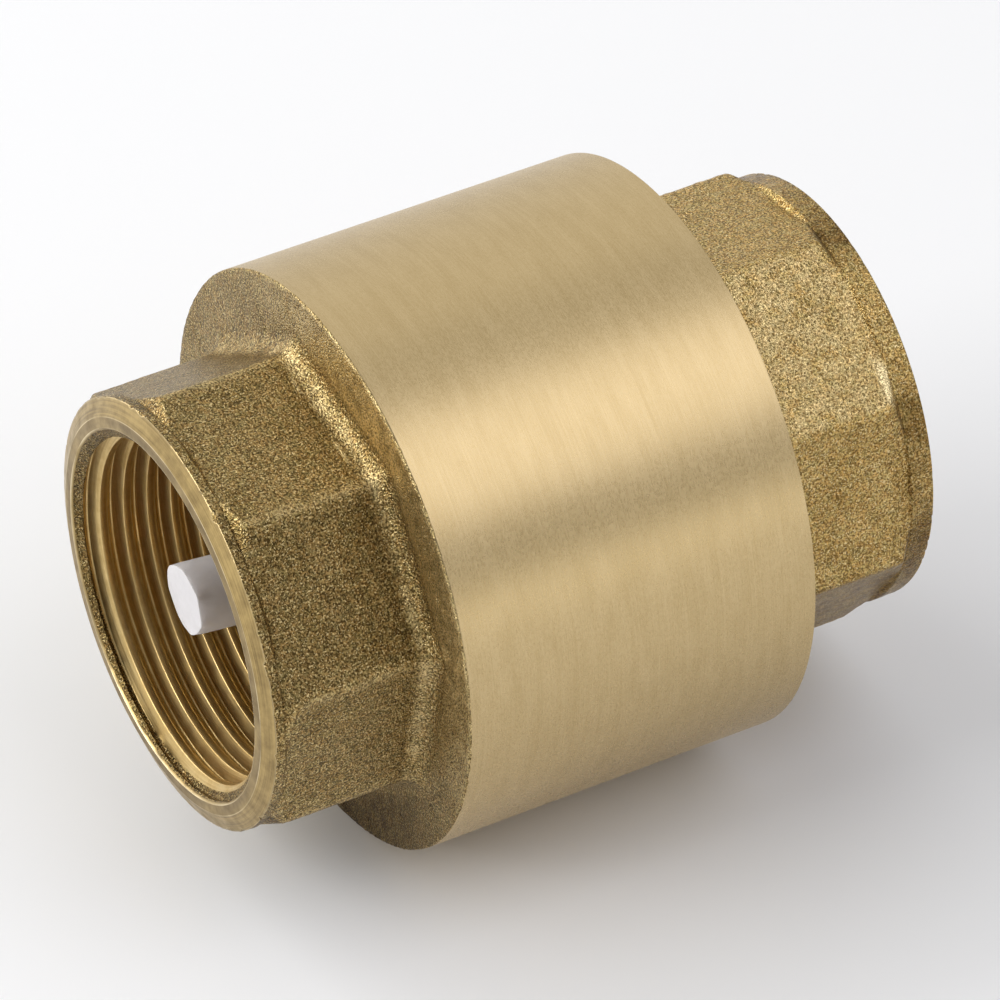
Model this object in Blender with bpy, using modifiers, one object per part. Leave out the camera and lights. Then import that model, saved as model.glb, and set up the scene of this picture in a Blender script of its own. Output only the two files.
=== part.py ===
"""Inline spring check valve, brass, G 3/4 female both ends.

The flow axis is world X: outlet mouth at -X, inlet mouth at +X, origin at the middle of the axis.
Every sub-part is modelled about its own local Z and hangs on one empty that lays Z along world X.
"""

from math import cos, pi, radians, sin, tan

import bmesh
import bpy

MM = 0.001

# ---- driving dimensions, millimetres ----------------------------------------------------------
LENGTH = 52.0
OUTLET_PORT_LENGTH = 12.1
INLET_PORT_LENGTH = 13.2
BARREL_RADIUS = 20.75
EDGE_CHAMFER = 0.25

ACROSS_FLATS = 30.0
FLATS = 8
OUTLET_OCTAGON_TURN = radians(34.0)
INLET_OCTAGON_TURN = radians(13.2)
COLLAR_RADIUS = 15.4
OUTLET_COLLAR = 1.1
INLET_COLLAR = 2.2
CORNER_CUT = 0.9
ROOT_FILLET = 1.9
RIM_RADIUS = 14.3
RIM_DEPTH = 0.45

# ISO 228 G 3/4 internal thread
THREAD_PITCH = 1.814
THREAD_MAJOR = 26.441 / 2
THREAD_MINOR = 24.117 / 2
THREAD_FLANK = radians(27.5)
THREAD_LENGTH = 11.3
THREAD_TURNS = 7
THREAD_ROOT_FLAT = THREAD_PITCH / 6
THREAD_OVERRUN = 0.15
MOUTH_RADIUS = 13.5
RELIEF_RADIUS = 13.4
RELIEF_LENGTH = 1.0

FACE_GAP = 0.3
RUNNING_GAP = 0.08

SHOULDER_WALL = 3.3
PASSAGE_RADIUS = 11.3
CHAMBER_RADIUS = 17.6
CHAMBER_CORNER = 1.0
SPIGOT_RADIUS = 18.9
SPIGOT_LENGTH = 6.2

HUB_RADIUS = 4.4
HUB_END = -8.7
HUB_NOSE = 0.6
RIB_COUNT = 3
RIB_WIDTH = 2.0
RIB_SETBACK = 0.3
RIB_ROOT = 0.6

SEAT_RADIUS = 10.5
SEAT_LIP = 1.2
SEAT_HEIGHT = 0.6

STEM_RADIUS = 2.57
STEM_TIP_DEPTH = 1.4
STEM_CHAMFER = 0.45
DISC_RADIUS = 13.0
DISC_THICKNESS = 2.0
SPRING_BOSS_LENGTH = 4.0
SEAL_BOSS_RADIUS = 4.9
SEAL_RADIUS = 12.7
SEAL_THICKNESS = 1.8
RETAINER_RADIUS = 9.0
RETAINER_THICKNESS = 1.8
PIN_RADIUS = 1.4
PIN_LENGTH = 5.0

SPRING_RADIUS = 5.4
WIRE_RADIUS = 0.4
ACTIVE_TURNS = 3.5
CLOSED_TURNS = 0.9
CLOSED_COIL_GAP = 0.05

O_RING_SECTION = 0.7
O_RING_GAP = 0.25
O_RING_SETBACK = 1.4

# how far a cutter runs past the face that it cuts, and how near points are that become one
CUTTER_OVERRUN = 1.0
AXIS_MERGE = 0.01
RIDGE_MERGE = 0.001

# ---- facet counts -----------------------------------------------------------------------------
BARREL_STEPS = 64
BORE_STEPS = 32
PIECE_STEPS = 40
STEM_STEPS = 24
FILLET_STEPS = 4
COIL_STEPS = 16
RING_STEPS = 8
SHARP_EDGE = radians(30.0)

# ---- places along the axis, worked out from the dimensions above ------------------------------
OUTLET_MOUTH = -LENGTH / 2
INLET_MOUTH = LENGTH / 2
OUTLET_SHOULDER = OUTLET_MOUTH + OUTLET_PORT_LENGTH
INLET_SHOULDER = INLET_MOUTH - INLET_PORT_LENGTH
CHAMBER_START = OUTLET_SHOULDER + SHOULDER_WALL
CAP_FACE = INLET_SHOULDER - SPIGOT_LENGTH
SEAT_PLANE = CAP_FACE - SEAT_HEIGHT
SEAL_FACE = SEAT_PLANE - FACE_GAP
SEAL_BACK = SEAL_FACE - SEAL_THICKNESS
DISC_FRONT = SEAL_BACK - FACE_GAP
DISC_BACK = DISC_FRONT - DISC_THICKNESS
STEM_TIP = OUTLET_MOUTH + STEM_TIP_DEPTH
RIB_BACK = OUTLET_MOUTH + THREAD_LENGTH + RELIEF_LENGTH + RIB_SETBACK
RIB_FACE = CHAMBER_START - RIB_SETBACK
OCTAGON_CORNER = ACROSS_FLATS / 2 / cos(pi / FLATS)

MATERIALS = {
    "cast_brass": ((0.36, 0.26, 0.12, 1.0), 0.55, 1.0),
    "acetal": ((0.82, 0.82, 0.84, 1.0), 0.40, 0.0),
    "nbr": ((0.02, 0.02, 0.02, 1.0), 0.60, 0.0),
    "stainless_wire": ((0.60, 0.60, 0.60, 1.0), 0.30, 1.0),
}


def clear_scene():
    for obj in list(bpy.data.objects):
        bpy.data.objects.remove(obj, do_unlink=True)


def new_collection(name):
    collection = bpy.data.collections.new(name)
    bpy.context.scene.collection.children.link(collection)
    return collection


def principled(name):
    colour, roughness, metallic = MATERIALS[name]
    material = bpy.data.materials.new(name)
    material.use_nodes = True
    shader = material.node_tree.nodes["Principled BSDF"]
    shader.inputs["Base Color"].default_value = colour
    shader.inputs["Roughness"].default_value = roughness
    shader.inputs["Metallic"].default_value = metallic
    return material


def add_object(name, mesh, parent, collection):
    obj = bpy.data.objects.new(name, mesh)
    obj.parent = parent
    collection.objects.link(obj)
    return obj


def as_cutter(obj):
    obj.hide_render = True
    obj.display_type = "WIRE"
    return obj


def turned(name, profile, steps, parent, collection, closed=False, turn=0.0):
    """A solid of revolution about local Z from (radius, z) points in mm, outer side top to bottom."""
    points = [(radius * MM, 0.0, z * MM) for radius, z in profile]
    edges = [(i, i + 1) for i in range(len(points) - 1)]
    if closed:
        edges.append((len(points) - 1, 0))
    mesh = bpy.data.meshes.new(name)
    mesh.from_pydata(points, edges, [])
    obj = add_object(name, mesh, parent, collection)
    obj.rotation_euler.z = turn
    screw = obj.modifiers.new("turning", "SCREW")
    screw.axis = "Z"
    screw.steps = steps
    screw.render_steps = steps
    screw.use_merge_vertices = True
    screw.merge_threshold = AXIS_MERGE * MM
    return obj


def boolean(obj, other, operation):
    modifier = obj.modifiers.new(f"{operation.lower()}_{other.name}", "BOOLEAN")
    modifier.operation = operation
    modifier.solver = "EXACT"
    modifier.object = other
    return modifier


def bake(obj):
    """Replaces the object's mesh by its evaluated one, so that later steps can edit it."""
    graph = bpy.context.evaluated_depsgraph_get()
    mesh = bpy.data.meshes.new_from_object(obj.evaluated_get(graph))
    obj.modifiers.clear()
    obj.data = mesh
    return obj


def fillet(radius, z, reach, side):
    """Points of a concave root fillet between a wall at this radius and a shoulder plane at z."""
    centre_radius = radius + reach
    centre_z = z - side * reach
    points = []
    for step in range(FILLET_STEPS + 1):
        angle = pi / 2 * step / FILLET_STEPS
        points.append((centre_radius - reach * cos(angle), centre_z + side * reach * sin(angle)))
    return points


def octagon_port(name, mouth, shoulder, side, collar, turn, parent, collection):
    """An eight-sided turning: wrench flats with cut corners, flaring into the shoulder.

    side is +1 where the shoulder lies towards +Z of the mouth and -1 where it lies towards -Z.
    """
    flat_start = mouth + side * collar
    corner_start = flat_start + side * CORNER_CUT
    inside = shoulder + side * SHOULDER_WALL / 2
    corner_scale = 1 / cos(pi / FLATS)
    outline = [
        (0.0, flat_start),
        (COLLAR_RADIUS - FACE_GAP, flat_start),
        (OCTAGON_CORNER, corner_start),
    ]
    outline += fillet(OCTAGON_CORNER, shoulder, ROOT_FILLET * corner_scale, side)
    outline.append((OCTAGON_CORNER + ROOT_FILLET * corner_scale, inside))
    outline.append((0.0, inside))
    if side > 0:
        outline.reverse()
    return as_cutter(turned(name, outline, FLATS, parent, collection, turn=turn))


def collar_ring(name, mouth, side, length, parent, collection):
    """The round collar behind the mouth, with the turned rim."""
    inner = mouth + side * (length + CORNER_CUT)
    outline = [
        (0.0, mouth),
        (RIM_RADIUS, mouth),
        (COLLAR_RADIUS, mouth + side * RIM_DEPTH),
        (COLLAR_RADIUS, mouth + side * length),
        (COLLAR_RADIUS - FACE_GAP, inner),
        (0.0, inner),
    ]
    if side > 0:
        outline.reverse()
    return as_cutter(turned(name, outline, BARREL_STEPS, parent, collection))


def port_bore(name, mouth, side, end, end_radius, parent, collection):
    """The smooth bore of a threaded port: mouth chamfer, minor diameter, thread relief, passage."""
    past = mouth - side * CUTTER_OVERRUN
    relief = mouth + side * THREAD_LENGTH
    relief_end = relief + side * RELIEF_LENGTH
    outline = [
        (0.0, past),
        (MOUTH_RADIUS, past),
        (MOUTH_RADIUS, mouth),
        (THREAD_MINOR, mouth + side * (MOUTH_RADIUS - THREAD_MINOR)),
        (THREAD_MINOR, relief - side * (RELIEF_RADIUS - THREAD_MINOR) / 2),
        (RELIEF_RADIUS, relief),
        (RELIEF_RADIUS, relief_end),
        (end_radius, relief_end),
        (end_radius, end),
        (0.0, end),
    ]
    if side > 0:
        outline.reverse()
    return as_cutter(turned(name, outline, BORE_STEPS, parent, collection))


def thread_groove(name, start, parent, collection):
    """A right-hand helical ridge that cuts the thread groove, capped at both ends."""
    depth = THREAD_MAJOR - THREAD_MINOR
    root_half = THREAD_ROOT_FLAT / 2
    mouth_half = root_half + (depth + THREAD_OVERRUN) * tan(THREAD_FLANK)
    inner = THREAD_MINOR - THREAD_OVERRUN
    section = [
        (inner, start + mouth_half),
        (THREAD_MAJOR, start + root_half),
        (THREAD_MAJOR, start - root_half),
        (inner, start - mouth_half),
    ]
    between_facets = pi / BORE_STEPS
    ridge = turned(name, section, BORE_STEPS, parent, collection, closed=True, turn=between_facets)
    screw = ridge.modifiers["turning"]
    screw.screw_offset = THREAD_PITCH * MM
    screw.iterations = THREAD_TURNS
    screw.use_merge_vertices = False
    bake(ridge)
    bm = bmesh.new()
    bm.from_mesh(ridge.data)
    bmesh.ops.remove_doubles(bm, verts=bm.verts, dist=RIDGE_MERGE * MM)
    bmesh.ops.holes_fill(bm, edges=bm.edges, sides=len(section))
    bmesh.ops.recalc_face_normals(bm, faces=bm.faces)
    bm.to_mesh(ridge.data)
    bm.free()
    return as_cutter(ridge)


def rib(name, turn, parent, collection):
    """One radial rib of the stem guide, from inside the hub to inside the passage wall."""
    mesh = bpy.data.meshes.new(name)
    bm = bmesh.new()
    bmesh.ops.create_cube(bm, size=1.0)
    inner = STEM_RADIUS + RIB_ROOT
    outer = PASSAGE_RADIUS + RIB_ROOT
    for vertex in bm.verts:
        vertex.co.x = ((inner + outer) / 2 + vertex.co.x * (outer - inner)) * MM
        vertex.co.y *= RIB_WIDTH * MM
        vertex.co.z = ((RIB_BACK + RIB_FACE) / 2 + vertex.co.z * (RIB_FACE - RIB_BACK)) * MM
    bm.to_mesh(mesh)
    bm.free()
    obj = add_object(name, mesh, parent, collection)
    obj.rotation_euler.z = turn
    return as_cutter(obj)


def cylinder_profile(radius, low, high, chamfer=0.0):
    if not chamfer:
        return [(0.0, high), (radius, high), (radius, low), (0.0, low)]
    return [
        (0.0, high),
        (radius - chamfer, high),
        (radius, high - chamfer),
        (radius, low + chamfer),
        (radius - chamfer, low),
        (0.0, low),
    ]


def make_valve_body(parent, parts, cutters):
    barrel = cylinder_profile(BARREL_RADIUS, OUTLET_SHOULDER, INLET_SHOULDER, EDGE_CHAMFER)
    body = turned("valve_body", barrel, BARREL_STEPS, parent, parts)
    outlet = (OUTLET_MOUTH, OUTLET_SHOULDER, 1, OUTLET_COLLAR, OUTLET_OCTAGON_TURN)
    port = octagon_port("outlet_octagon", *outlet, parent, cutters)
    collar = collar_ring("outlet_collar", OUTLET_MOUTH, 1, OUTLET_COLLAR, parent, cutters)
    bore_end = CHAMBER_START + CUTTER_OVERRUN
    bore = port_bore("outlet_bore", OUTLET_MOUTH, 1, bore_end, PASSAGE_RADIUS, parent, cutters)
    chamber_profile = [
        (0.0, INLET_SHOULDER + CUTTER_OVERRUN),
        (SPIGOT_RADIUS, INLET_SHOULDER + CUTTER_OVERRUN),
        (SPIGOT_RADIUS, CAP_FACE - FACE_GAP),
        (CHAMBER_RADIUS, CAP_FACE - FACE_GAP),
        (CHAMBER_RADIUS, CHAMBER_START + CHAMBER_CORNER),
        (CHAMBER_RADIUS - CHAMBER_CORNER, CHAMBER_START),
        (0.0, CHAMBER_START),
    ]
    chamber = as_cutter(turned("chamber", chamber_profile, BARREL_STEPS, parent, cutters))
    thread_start = OUTLET_MOUTH + THREAD_LENGTH + RELIEF_LENGTH / 2 - THREAD_TURNS * THREAD_PITCH
    thread = thread_groove("outlet_thread", thread_start, parent, cutters)
    hub_profile = cylinder_profile(HUB_RADIUS, OUTLET_SHOULDER - HUB_NOSE, HUB_END, EDGE_CHAMFER)
    hub = as_cutter(turned("guide_hub", hub_profile, STEM_STEPS, parent, cutters))
    guide_start = OUTLET_SHOULDER - 2 * CUTTER_OVERRUN
    guide_end = HUB_END + CUTTER_OVERRUN
    guide_profile = cylinder_profile(STEM_RADIUS + RUNNING_GAP, guide_start, guide_end)
    guide = as_cutter(turned("stem_guide", guide_profile, STEM_STEPS, parent, cutters))
    boolean(body, port, "UNION")
    boolean(body, collar, "UNION")
    boolean(body, bore, "DIFFERENCE")
    boolean(body, chamber, "DIFFERENCE")
    boolean(body, thread, "DIFFERENCE")
    boolean(body, hub, "UNION")
    for index in range(RIB_COUNT):
        arm = rib(f"guide_rib_{index + 1}", 2 * pi * index / RIB_COUNT + pi, parent, cutters)
        boolean(body, arm, "UNION")
    boolean(body, guide, "DIFFERENCE")
    return body


def make_end_cap(parent, parts, cutters):
    spigot = SPIGOT_RADIUS - FACE_GAP
    groove_low = CAP_FACE + O_RING_SETBACK
    groove_high = groove_low + 2 * (O_RING_SECTION + O_RING_GAP)
    groove_floor = spigot - 2 * O_RING_SECTION - O_RING_GAP
    outline = [
        (0.0, INLET_SHOULDER),
        (spigot - EDGE_CHAMFER, INLET_SHOULDER),
        (spigot, INLET_SHOULDER - EDGE_CHAMFER),
        (spigot, groove_high),
        (groove_floor, groove_high),
        (groove_floor, groove_low),
        (spigot, groove_low),
        (spigot, CAP_FACE + EDGE_CHAMFER),
        (spigot - EDGE_CHAMFER, CAP_FACE),
        (SEAT_RADIUS + SEAT_LIP + SEAT_HEIGHT, CAP_FACE),
        (SEAT_RADIUS + SEAT_LIP, SEAT_PLANE),
        (0.0, SEAT_PLANE),
    ]
    cap = turned("end_cap", outline, BARREL_STEPS, parent, parts)
    inlet = (INLET_MOUTH, INLET_SHOULDER, -1, INLET_COLLAR, INLET_OCTAGON_TURN)
    port = octagon_port("inlet_octagon", *inlet, parent, cutters)
    collar = collar_ring("inlet_collar", INLET_MOUTH, -1, INLET_COLLAR, parent, cutters)
    bore_end = SEAT_PLANE - CUTTER_OVERRUN
    bore = port_bore("inlet_bore", INLET_MOUTH, -1, bore_end, SEAT_RADIUS, parent, cutters)
    thread_start = INLET_MOUTH - THREAD_LENGTH - RELIEF_LENGTH / 2
    thread = thread_groove("inlet_thread", thread_start, parent, cutters)
    boolean(cap, port, "UNION")
    boolean(cap, collar, "UNION")
    boolean(cap, bore, "DIFFERENCE")
    boolean(cap, thread, "DIFFERENCE")
    return cap, (groove_low + groove_high) / 2


def make_o_ring(z, parent, parts):
    ring_radius = SPIGOT_RADIUS - O_RING_GAP - O_RING_SECTION
    section = []
    for step in range(RING_STEPS):
        angle = -2 * pi * step / RING_STEPS
        section.append((ring_radius + O_RING_SECTION * cos(angle), z + O_RING_SECTION * sin(angle)))
    return turned("cap_o_ring", section, PIECE_STEPS, parent, parts, closed=True)


def make_poppet(slider, parts):
    socket = PIN_RADIUS + FACE_GAP
    boss_end = DISC_BACK - SPRING_BOSS_LENGTH
    seal_boss_end = SEAL_FACE - FACE_GAP
    socket_end = SEAL_FACE - PIN_LENGTH
    outline = [
        (0.0, socket_end),
        (socket, socket_end),
        (socket, seal_boss_end),
        (SEAL_BOSS_RADIUS, seal_boss_end),
        (SEAL_BOSS_RADIUS, DISC_FRONT),
        (DISC_RADIUS - EDGE_CHAMFER, DISC_FRONT),
        (DISC_RADIUS, DISC_FRONT - EDGE_CHAMFER),
        (DISC_RADIUS, DISC_BACK + EDGE_CHAMFER),
        (DISC_RADIUS - EDGE_CHAMFER, DISC_BACK),
        (HUB_RADIUS, DISC_BACK),
        (HUB_RADIUS, boss_end + EDGE_CHAMFER),
        (HUB_RADIUS - EDGE_CHAMFER, boss_end),
        (STEM_RADIUS, boss_end),
        (STEM_RADIUS, STEM_TIP + STEM_CHAMFER),
        (STEM_RADIUS - STEM_CHAMFER, STEM_TIP),
        (0.0, STEM_TIP),
    ]
    return turned("poppet", outline, STEM_STEPS, slider, parts)


def make_seal(slider, parts):
    inner = SEAL_BOSS_RADIUS + FACE_GAP
    outline = [
        (inner, SEAL_FACE),
        (SEAL_RADIUS - EDGE_CHAMFER, SEAL_FACE),
        (SEAL_RADIUS, SEAL_FACE - EDGE_CHAMFER),
        (SEAL_RADIUS, SEAL_BACK + EDGE_CHAMFER),
        (SEAL_RADIUS - EDGE_CHAMFER, SEAL_BACK),
        (inner, SEAL_BACK),
    ]
    return turned("poppet_seal", outline, PIECE_STEPS, slider, parts, closed=True)


def make_retainer(slider, parts):
    low = SEAL_FACE + FACE_GAP
    high = low + RETAINER_THICKNESS
    outline = [
        (0.0, high),
        (RETAINER_RADIUS - 2 * EDGE_CHAMFER, high),
        (RETAINER_RADIUS, high - 2 * EDGE_CHAMFER),
        (RETAINER_RADIUS, low),
        (PIN_RADIUS, low),
        (PIN_RADIUS, low - PIN_LENGTH + EDGE_CHAMFER),
        (PIN_RADIUS - EDGE_CHAMFER, low - PIN_LENGTH),
        (0.0, low - PIN_LENGTH),
    ]
    return turned("seal_retainer", outline, STEM_STEPS, slider, parts)


def make_spring(parent, parts):
    """Compression spring with closed ends, from the ribs to the poppet disc."""
    low = RIB_FACE + FACE_GAP + WIRE_RADIUS
    high = DISC_BACK - FACE_GAP - WIRE_RADIUS
    closed_pitch = 2 * WIRE_RADIUS + CLOSED_COIL_GAP
    turns = ACTIVE_TURNS + 2 * CLOSED_TURNS
    active_pitch = (high - low - 2 * CLOSED_TURNS * closed_pitch) / ACTIVE_TURNS
    count = round(turns * COIL_STEPS)
    curve = bpy.data.curves.new("closing_spring", "CURVE")
    curve.dimensions = "3D"
    curve.bevel_depth = WIRE_RADIUS * MM
    curve.bevel_resolution = 2
    curve.use_fill_caps = True
    spline = curve.splines.new("POLY")
    spline.points.add(count)
    coil_radius = SPRING_RADIUS * MM
    z = low
    for index in range(count + 1):
        turn = turns * index / count
        angle = 2 * pi * turn
        spline.points[index].co = (coil_radius * cos(angle), coil_radius * sin(angle), z * MM, 1.0)
        in_closed_end = turn < CLOSED_TURNS or turn >= turns - CLOSED_TURNS
        z += (closed_pitch if in_closed_end else active_pitch) * turns / count
    return add_object("closing_spring", curve, parent, parts)


def finish_piece(obj, material):
    """Gives the piece its material and, on a mesh, smooth shading with its real edges kept sharp."""
    if obj.type == "MESH":
        bake(obj)
        obj.data.shade_smooth()
        obj.data.set_sharp_from_angle(angle=SHARP_EDGE)
    obj.data.materials.clear()
    obj.data.materials.append(material)


def main():
    clear_scene()
    parts = new_collection("check_valve")
    cutters = new_collection("cutters")
    axis = bpy.data.objects.new("flow_axis", None)
    axis.rotation_euler = (0.0, pi / 2, 0.0)
    parts.objects.link(axis)
    slider = bpy.data.objects.new("poppet_axis", None)
    slider.parent = axis
    parts.objects.link(slider)

    body = make_valve_body(axis, parts, cutters)
    cap, o_ring_place = make_end_cap(axis, parts, cutters)
    pieces = {
        body: "cast_brass",
        cap: "cast_brass",
        make_o_ring(o_ring_place, axis, parts): "nbr",
        make_poppet(slider, parts): "acetal",
        make_seal(slider, parts): "nbr",
        make_retainer(slider, parts): "acetal",
        make_spring(axis, parts): "stainless_wire",
    }
    for piece, material in pieces.items():
        finish_piece(piece, principled(material))


main()
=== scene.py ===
"""Looks of an inline spring check valve: cast and turned brass with a white moulded poppet.

The valve lies along X with its outlet mouth at -X. Lengths are in metres. Angles round the valve
start at +Z and grow towards -Y. Places come from the boxes of the frame's nodes, so every skin
fits the solid that it stands for.
"""

from math import atan, cos, exp, pi, radians, sin, tan

import bmesh
import bpy
import numpy as np
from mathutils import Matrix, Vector, noise


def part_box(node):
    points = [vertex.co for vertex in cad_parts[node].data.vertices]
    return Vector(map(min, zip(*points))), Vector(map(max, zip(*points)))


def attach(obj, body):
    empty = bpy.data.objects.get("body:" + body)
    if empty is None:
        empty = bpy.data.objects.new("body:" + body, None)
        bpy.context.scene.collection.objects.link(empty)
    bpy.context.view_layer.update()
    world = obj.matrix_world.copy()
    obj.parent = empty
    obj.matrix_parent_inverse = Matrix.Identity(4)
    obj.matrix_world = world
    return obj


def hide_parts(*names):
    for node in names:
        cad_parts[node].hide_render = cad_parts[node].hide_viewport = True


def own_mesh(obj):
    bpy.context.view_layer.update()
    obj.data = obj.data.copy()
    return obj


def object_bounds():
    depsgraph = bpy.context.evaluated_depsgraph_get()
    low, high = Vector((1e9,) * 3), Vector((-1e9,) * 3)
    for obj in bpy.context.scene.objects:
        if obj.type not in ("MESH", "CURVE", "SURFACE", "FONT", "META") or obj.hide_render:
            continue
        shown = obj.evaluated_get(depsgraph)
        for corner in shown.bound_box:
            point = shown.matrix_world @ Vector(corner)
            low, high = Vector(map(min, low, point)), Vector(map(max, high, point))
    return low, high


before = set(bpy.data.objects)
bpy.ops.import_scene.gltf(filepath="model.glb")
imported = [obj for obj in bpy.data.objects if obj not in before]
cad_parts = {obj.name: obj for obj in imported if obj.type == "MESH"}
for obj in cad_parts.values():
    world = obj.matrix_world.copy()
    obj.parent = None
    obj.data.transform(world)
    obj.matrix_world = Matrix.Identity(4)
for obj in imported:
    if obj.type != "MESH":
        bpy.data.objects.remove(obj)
cad_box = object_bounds()

MM = 0.001

# ---- places and radii read from the frame -----------------------------------------------------
body_low, body_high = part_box("valve_body")
cap_low, cap_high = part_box("end_cap")
poppet_low, poppet_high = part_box("poppet")
seal_low, seal_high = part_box("poppet_seal")
retainer_low, retainer_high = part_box("seal_retainer")
ring_low, ring_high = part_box("cap_o_ring")
spring_low, spring_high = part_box("closing_spring")

OUTLET_MOUTH = body_low.x
BODY_REAR = body_high.x
BARREL_RADIUS = body_high.z
INLET_MOUTH = cap_high.x
SEAT_PLANE = cap_low.x
SPIGOT_RADIUS = cap_high.z

# ---- dimensions of the castings ---------------------------------------------------------------
OUTLET_PORT = 12.22 * MM
INLET_PORT = INLET_MOUTH - BODY_REAR
APOTHEM = 15.0 * MM
FLATS = 8
CORNER_ROUND = 0.5 * MM
OUTLET_TURN = radians(34.0)
INLET_TURN = radians(13.2)
COLLAR_RADIUS = 15.4 * MM
OUTLET_COLLAR = 1.22 * MM
INLET_COLLAR = 2.2 * MM
CORNER_SLOPE = 1.15
STEP_SLOPE = 1.4
CAST_BLEND = 0.07 * MM
CORNER_CUT = 1.5 * MM
ROOT_FILLET = 1.5 * MM
MOUTH_RADIUS = 13.35 * MM
RIM_RADIUS = 14.12 * MM
RIM_STEP = 0.05 * MM
RIM_DEPTH = 0.57 * MM
TURNED_CHAMFER = 0.02 * MM
MACHINED_EDGE = 0.12 * MM

THREAD_PITCH = 1.814 * MM
THREAD_MAJOR = 26.441 / 2 * MM
THREAD_LAND = 12.28 * MM
THREAD_DEPTH = THREAD_MAJOR - THREAD_LAND
THREAD_SHARP_DEPTH = THREAD_PITCH / 2 / tan(radians(27.5))
THREAD_LENGTH = 11.3 * MM
THREAD_ROUND = 0.05
LEAD_IN = 0.85 * MM
LEAD_SLOPE = 1.13
RELIEF_RADIUS = 13.4 * MM
RELIEF_LENGTH = 1.0 * MM

CHAMBER_RADIUS = 17.6 * MM
CHAMBER_START = OUTLET_MOUTH + OUTLET_PORT + 3.3 * MM
PASSAGE_RADIUS = 11.3 * MM
JOINT_GAP = 0.3 * MM
CAP_FACE = SEAT_PLANE + 0.6 * MM
SEAT_RADIUS = 10.5 * MM
SEAT_LIP = 1.2 * MM
GROOVE_FLOOR = 16.95 * MM

HUB_RADIUS = 4.4 * MM
HUB_BORE = 2.65 * MM
HUB_START = OUTLET_MOUTH + OUTLET_PORT - 0.6 * MM
HUB_END = -8.7 * MM
RIBS = 3
RIB_WIDTH = 2.0 * MM
RIB_START = OUTLET_MOUTH + THREAD_LENGTH + RELIEF_LENGTH + 0.3 * MM
RIB_END = CHAMBER_START - 0.3 * MM

# ---- casting marks, painted highlights and painted shade --------------------------------------
# Marks of one port: "flashes" are (first, last) degrees; the glint marks are painted glints at
# (degree, depth from the mouth); the flat marks are painted light and shade on each flat as (first
# degree, last degree, amount). The rest are amounts of rubbed wear, painted highlights and painted
# shade.
CAST_LUMPS = ((0.05 * MM, 3.5 * MM), (0.03 * MM, 0.9 * MM), (0.03 * MM, 0.33 * MM))
EDGE_JITTER = 0.10 * MM
EDGE_LUMPS = 0.5 * MM
EDGE_INSET = 0.08 * MM
RIM_NICK = 0.55 * MM
FLASH_HEIGHT = 0.09 * MM
# Amounts of painted light on the upper side of each shoulder and painted shade on its lower side.
SHOULDER_PAINTED_LIGHT = 1.1
SHOULDER_PAINTED_SHADE = 0.95
# A painted glint: its size in degrees round and along the port, and its brightness.
GLINT_SIZE = (5.2, 0.36 * MM)
GLINT_BRIGHTNESS = 4.0
FLAT_BLEND = radians(2.0)
# Centres of the shoulder's painted light, 55 degrees round, and painted shade, 10 degrees short of
# straight down.
LIT_SIDE = radians(55.0)
SHADED_SIDE = radians(10.0)
RIM_LINE = 0.05 * MM
RIM_PATCHES = 2.4 * MM
# (share across the rim face, amount): painted shade across the end face and a bright outer edge of
# rubbed wear and painted highlight.
RIM_WEAR_AND_SHADING = ((0.07, -0.4), (0.5, -0.4), (0.93, -0.4), (1.0, 0.9))
# Brightness of the collar's edge: rubbed wear and a painted highlight.
COLLAR_WEAR_AND_HIGHLIGHT = 0.25
COLLAR_EDGE = 0.12 * MM
NICK_LUMPS = 0.7 * MM
# Size of the patches of the painted highlight in the root fillet.
ROOT_LUMPS = 1.8 * MM
CORNER_BRIGHT_WIDTH = 0.42 * MM
# Width of the painted shade behind each corner cut.
CUT_SHADE_WIDTH = 2.2 * MM
CUT_EDGE_WIDTH = 0.12 * MM
# Reach of the painted shade on the collar and behind the corner cuts.
COLLAR_SHADE_REACH = 0.3 * MM
CUT_SHADE_REACH = 0.8 * MM
# Painted shade on the as-cast lead-in inside the mouth.
LEAD_IN_SHADE = -0.75
OUTLET_MARKS = {
    "flashes": ((-4.0, 2.0), (18.5, 27.5)),
    "glints": (),
    "ridge_wear_and_highlight": 0.6,
    "root_highlight": 0.95,
    "root_shade": 0.0,
    "collar_shade": 0.0,
    "cut_shade": 0.1,
    # painted light and shade on each flat: lighter or darker for the way the light falls on it
    "flat_shading": ((-56.0, -11.0, -0.35), (34.0, 79.0, -0.42), (124.0, 169.0, -0.8)),
}
INLET_MARKS = {
    "flashes": (),
    "glints": ((53.5, 2.8 * MM),),
    "ridge_wear_and_highlight": 0.1,
    "root_highlight": 0.2,
    "root_shade": 0.8,
    "collar_shade": 0.35,
    "cut_shade": 0.8,
    # painted light and shade on each flat: lighter or darker for the way the light falls on it
    "flat_shading": (
        (-31.8, 13.2, -0.12),
        (13.2, 58.2, 0.45),
        (58.2, 103.2, -0.35),
        (103.2, 148.2, -0.9),
    ),
}
LEAD_LUMPS = ((0.06 * MM, 0.9 * MM), (0.04 * MM, 0.35 * MM))

# ---- mesh density -----------------------------------------------------------------------------
AROUND = 360
LEAD_RINGS = 12
FLAT_RING = 0.3 * MM
ARC_RINGS = 10
ANGLES = np.linspace(0.0, 2 * pi, AROUND, endpoint=False)

CAST, TURNED, MACHINED, RIM = 0, 1, 2, 3
CREASE = radians(70.0)
MERGE = 1e-4 * MM


# ---- meshes -----------------------------------------------------------------------------------
def smooth_min(a, b, width):
    """The smaller of two shapes, rounded where they cross."""
    return (a + b - np.sqrt((a - b) ** 2 + width**2)) / 2


def smooth_max(a, b, width):
    return -smooth_min(-a, -b, width)


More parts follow.
